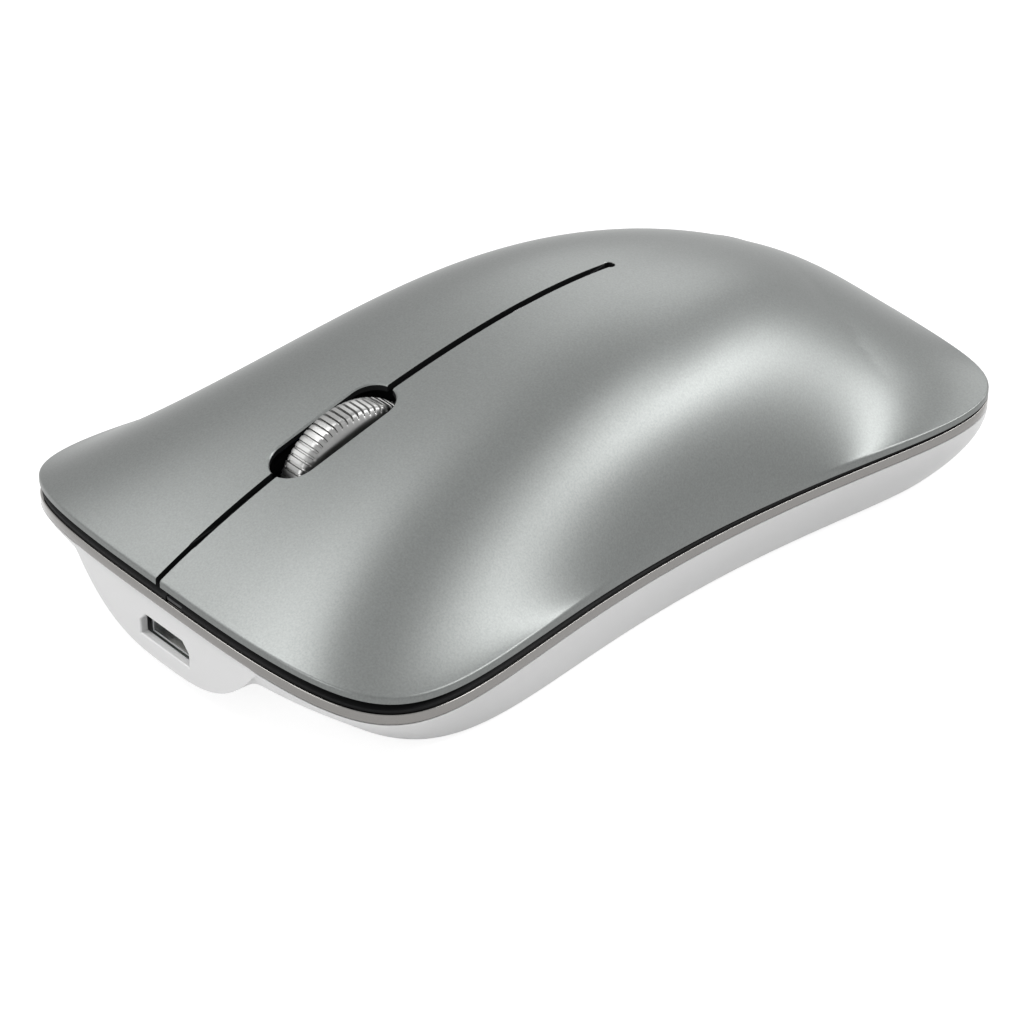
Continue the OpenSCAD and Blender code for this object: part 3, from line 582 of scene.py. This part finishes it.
def metal(name, colour, low, high, grain, spread=0.06, depth=0.00001, strength=0.25, coarse=None):
    """Metal with roughness from low to high, and a fine grain of the given scale."""
    m, nodes, links, b = material(name)
    b.inputs["Metallic"].default_value = 1.0
    fine = noise(nodes, links, grain, 2.0, 0.6)
    wide = noise(nodes, links, coarse or grain / 40, 3.0)
    links.new(tint(nodes, links, fine, colour, spread), b.inputs["Base Color"])
    links.new(span(nodes, links, wide, low, high), b.inputs["Roughness"])
    bump(nodes, links, b, fine, depth, strength)
    return m


def plastic(name, colour, low, high, grain, spread=0.05, depth=0.00001, strength=0.2, specular=0.5):
    """Plastic with roughness from low to high, and a fine grain of the given scale."""
    m, nodes, links, b = material(name)
    b.inputs["Specular IOR Level"].default_value = specular
    fine = noise(nodes, links, grain, 3.0, 0.55)
    wide = noise(nodes, links, grain / 30, 3.0)
    links.new(tint(nodes, links, wide, colour, spread), b.inputs["Base Color"])
    links.new(span(nodes, links, fine, low, high), b.inputs["Roughness"])
    bump(nodes, links, b, fine, depth, strength)
    return m


MATS = {
    "cover_metal": metal("anodised_silver", (0.178, 0.186, 0.182), 0.37, 0.40, 4200, 0.09, 0.000012, 0.3, 30),
    "black_band": plastic("matte_black", (0.008, 0.0083, 0.0086), 0.5, 0.6, 3000, specular=0.12),
    "bright_trim": metal("plated_trim", (0.235, 0.228, 0.22), 0.12, 0.16, 2400, 0.02, 0.000004, 0.1),
    "white_shell": plastic("pale_shell", (0.76, 0.76, 0.76), 0.30, 0.38, 2600, 0.012, specular=0.35),
    "slip_feet": plastic("slick_foot", (0.05, 0.05, 0.055), 0.25, 0.4, 1500),
    "wheel_metal": metal("wheel_steel", (0.3, 0.3, 0.296), 0.26, 0.32, 3000, 0.03, 0.000003, 0.1),
    "dark_plastic": plastic("dark_moulded", (0.012, 0.0124, 0.013), 0.45, 0.6, 2200, specular=0.12),
    "steel": metal("ground_steel", (0.55, 0.55, 0.56), 0.22, 0.32, 2600),
    "encoder_blue": plastic("blue_moulded", (0.04, 0.14, 0.36), 0.35, 0.45, 2200),
    "board": plastic("solder_mask", (0.015, 0.11, 0.045), 0.25, 0.35, 1800, 0.2),
    "switch_body": plastic("black_moulded", (0.02, 0.02, 0.024), 0.4, 0.55, 2200),
    "plunger_red": plastic("red_moulded", (0.5, 0.06, 0.03), 0.35, 0.45, 2200),
    "tin": metal("plated_tin", (0.62, 0.63, 0.64), 0.2, 0.3, 2600),
    "pale_plastic": plastic("cream_moulded", (0.7, 0.69, 0.64), 0.4, 0.5, 2200),
    "clear_lens": plastic("smoky_lens", (0.45, 0.48, 0.5), 0.08, 0.12, 1200),
    "smoked_pipe": plastic("smoked_window", (0.05, 0.052, 0.054), 0.3, 0.4, 1200, specular=0.3),
    "cell": plastic("pouch_foil", (0.27, 0.31, 0.39), 0.25, 0.4, 900, 0.1, 0.00004, 0.4),
    "wire": plastic("wire_skin", (0.35, 0.03, 0.02), 0.4, 0.5, 1800),
}
SLOT_OF = {s["node"]: s["material_slot"] for s in frame["record"]["subparts"]}


def dress(o, slot_name):
    o.data.materials.clear()
    o.data.materials.append(MATS[slot_name])


# ---- Pieces, the case's and the wheel's on their bodies, the leaves with their placing baked in ----

for node_name, node_object in NODE.items():
    dress(node_object, SLOT_OF[node_name])

palm, left_leaf, right_leaf = metal_top()
for o, node_name in ((palm, "palm_cover"), (left_leaf, "left_button"), (right_leaf, "right_button")):
    dress(o, "cover_metal")
    paint_shade_inside(o)
    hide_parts(node_name)
for o, node_name, body in ((trim_skin(), "trim_ring", "case"), (band_skin(), "mid_frame", "case"),
                           (shell_skin(), "lower_shell", "case"), (wheel_skin(), "wheel_rim", "wheel")):
    dress(o, SLOT_OF[node_name])
    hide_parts(node_name)
    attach(o, body)
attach(palm, "case")
for o, body in ((left_leaf, "left_leaf"), (right_leaf, "right_leaf")):
    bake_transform(o)

# ---- Floor and world ----

FLOOR_HALF, FLOOR_DROP = 3, 0.02
FLOOR_GREY, FLOOR_ROUGH = 0.6, 0.9
# Where it is shown, the floor is white, and a part of it is lit, so it keeps the shadow
FLOOR_GLOW, FLOOR_LIT = 0.86, 0.3
WORLD_LIGHT, WORLD_SHOWN = 0.4, 1.0


def shown_rays(nodes, links):
    """1 for rays that show the background: from the camera, off gloss, or through glass."""
    path = nodes.new("ShaderNodeLightPath")
    fac = path.outputs["Is Camera Ray"]
    for name in ("Is Glossy Ray", "Is Transmission Ray"):
        either = nodes.new("ShaderNodeMath")
        either.operation = "MAXIMUM"
        links.new(fac, either.inputs[0])
        links.new(path.outputs[name], either.inputs[1])
        fac = either.outputs[0]
    return fac


def mixed(nodes, links, fac, zero, one):
    """The shader zero where fac is 0, and one where it is 1."""
    mix = nodes.new("ShaderNodeMixShader")
    links.new(fac, mix.inputs["Fac"])
    links.new(zero, mix.inputs[1])
    links.new(one, mix.inputs[2])
    return mix.outputs["Shader"]


def grey(value):
    return value, value, value, 1


corners = ((-1, -1), (1, -1), (1, 1), (-1, 1))
floor = new_object("floor", [(FLOOR_HALF * x, FLOOR_HALF * y, 0) for x, y in corners], [(0, 1, 2, 3)])
floor_mat, fn, fl, plain = material("pale_floor")
plain.inputs["Base Color"].default_value = grey(FLOOR_GREY)
plain.inputs["Roughness"].default_value = FLOOR_ROUGH
glow = fn.new("ShaderNodeEmission")
glow.inputs["Strength"].default_value = FLOOR_GLOW
lit = fn.new("ShaderNodeBsdfDiffuse")
lit.inputs["Color"].default_value = grey(FLOOR_LIT)
both = fn.new("ShaderNodeAddShader")
fl.new(glow.outputs["Emission"], both.inputs[0])
fl.new(lit.outputs["BSDF"], both.inputs[1])
above = mixed(fn, fl, shown_rays(fn, fl), plain.outputs["BSDF"], both.outputs["Shader"])
# The floor is one-sided, so that the underside can be looked at from below
below = fn.new("ShaderNodeBsdfTransparent").outputs["BSDF"]
facing_away = fn.new("ShaderNodeNewGeometry").outputs["Backfacing"]
fl.new(mixed(fn, fl, facing_away, above, below), fn["Material Output"].inputs["Surface"])
floor.data.materials.append(floor_mat)
floor.location.z = -FLOOR_DROP * MM

scene = bpy.context.scene
scene.view_settings.view_transform = "Standard"
world = bpy.data.worlds.new("studio")
scene.world = world
world.use_nodes = True
wn, wl = world.node_tree.nodes, world.node_tree.links
dim, white = wn["Background"], wn.new("ShaderNodeBackground")
for background, strength in ((dim, WORLD_LIGHT), (white, WORLD_SHOWN)):
    background.inputs["Color"].default_value = grey(1)
    background.inputs["Strength"].default_value = strength
sky = mixed(wn, wl, shown_rays(wn, wl), dim.outputs["Background"], white.outputs["Background"])
wl.new(sky, wn["World Output"].inputs["Surface"])

# ---- Lamps ----

LAMP_REACH = 0.8
# Name, azimuth and elevation of the strip's two ends as seen from the object, width, radiance
LAMPS = (
    ("strip_box", ((121, 44), (146, 36)), 0.14, 7.5),
    ("strip_nose_box", ((134, 45), (157, 58)), 0.12, 6.5),
    ("strip_end_box", ((144, 36), (175, 22)), 0.13, 8.5),
    ("rear_box", ((196, 34), (238, 34)), 0.36, 1.9),
    ("top_box", ((276, 57), (332, 57)), 0.42, 4.5),
    ("front_box", ((300, 30), (325, 30)), 0.3, 2.2),
    ("face_box", ((345, 20), (20, 20)), 0.3, 3.0),
)


def toward(azimuth, elevation):
    a, e = math.radians(azimuth), math.radians(elevation)
    return Vector((math.sin(a) * math.cos(e), -math.cos(a) * math.cos(e), math.sin(e)))


def placed(x, y, z, at):
    """Matrix with the axes x, y and z, at a place."""
    return Matrix([(x[i], y[i], z[i], at[i]) for i in range(3)] + [(0, 0, 0, 1)])


def softbox(name, ends, width, radiance):
    """Strip light between two directions, at a plain radiance."""
    one, two = (toward(*e) * LAMP_REACH for e in ends)
    place, run = (one + two) / 2, (one - two)
    lamp = bpy.data.lights.new(name, "AREA")
    lamp.shape, lamp.size, lamp.size_y = "RECTANGLE", run.length, width
    lamp.energy = radiance * math.pi * run.length * width
    o = bpy.data.objects.new(name, lamp)
    scene.collection.objects.link(o)
    z = place.normalized()
    x = (run - run.dot(z) * z).normalized()
    o.matrix_world = placed(x, z.cross(x), z, place)


for lamp_values in LAMPS:
    softbox(*lamp_values)

# ---- Camera ----

CAM_AZ, CAM_EL, CAM_ROLL = 50.211, 32.052, math.radians(-0.271)
CAM_F_PX, CAM_DIST, CAM_PX, CAM_PY = 3903.03, 0.45165, 0.002293, 0.009834
CAM_AIM = (0, 0, 0.012)
SENSOR_MM, IMAGE_PX = 36, 1024
CAM_NEAR, CAM_FAR = 0.01, 20

right = Vector((math.cos(math.radians(CAM_AZ)), math.sin(math.radians(CAM_AZ)), 0))
back = toward(CAM_AZ, CAM_EL)
up = back.cross(right)
cam_right = math.cos(CAM_ROLL) * right + math.sin(CAM_ROLL) * up
cam_up = -math.sin(CAM_ROLL) * right + math.cos(CAM_ROLL) * up
camera = bpy.data.objects.new("camera", bpy.data.cameras.new("camera"))
scene.collection.objects.link(camera)
camera.data.sensor_width = SENSOR_MM
camera.data.lens = CAM_F_PX * SENSOR_MM / IMAGE_PX
camera.data.clip_start, camera.data.clip_end = CAM_NEAR, CAM_FAR
where = Vector(CAM_AIM) + CAM_DIST * back - CAM_PX * cam_right - CAM_PY * cam_up
camera.matrix_world = placed(cam_right, cam_up, back, where)
scene.camera = camera
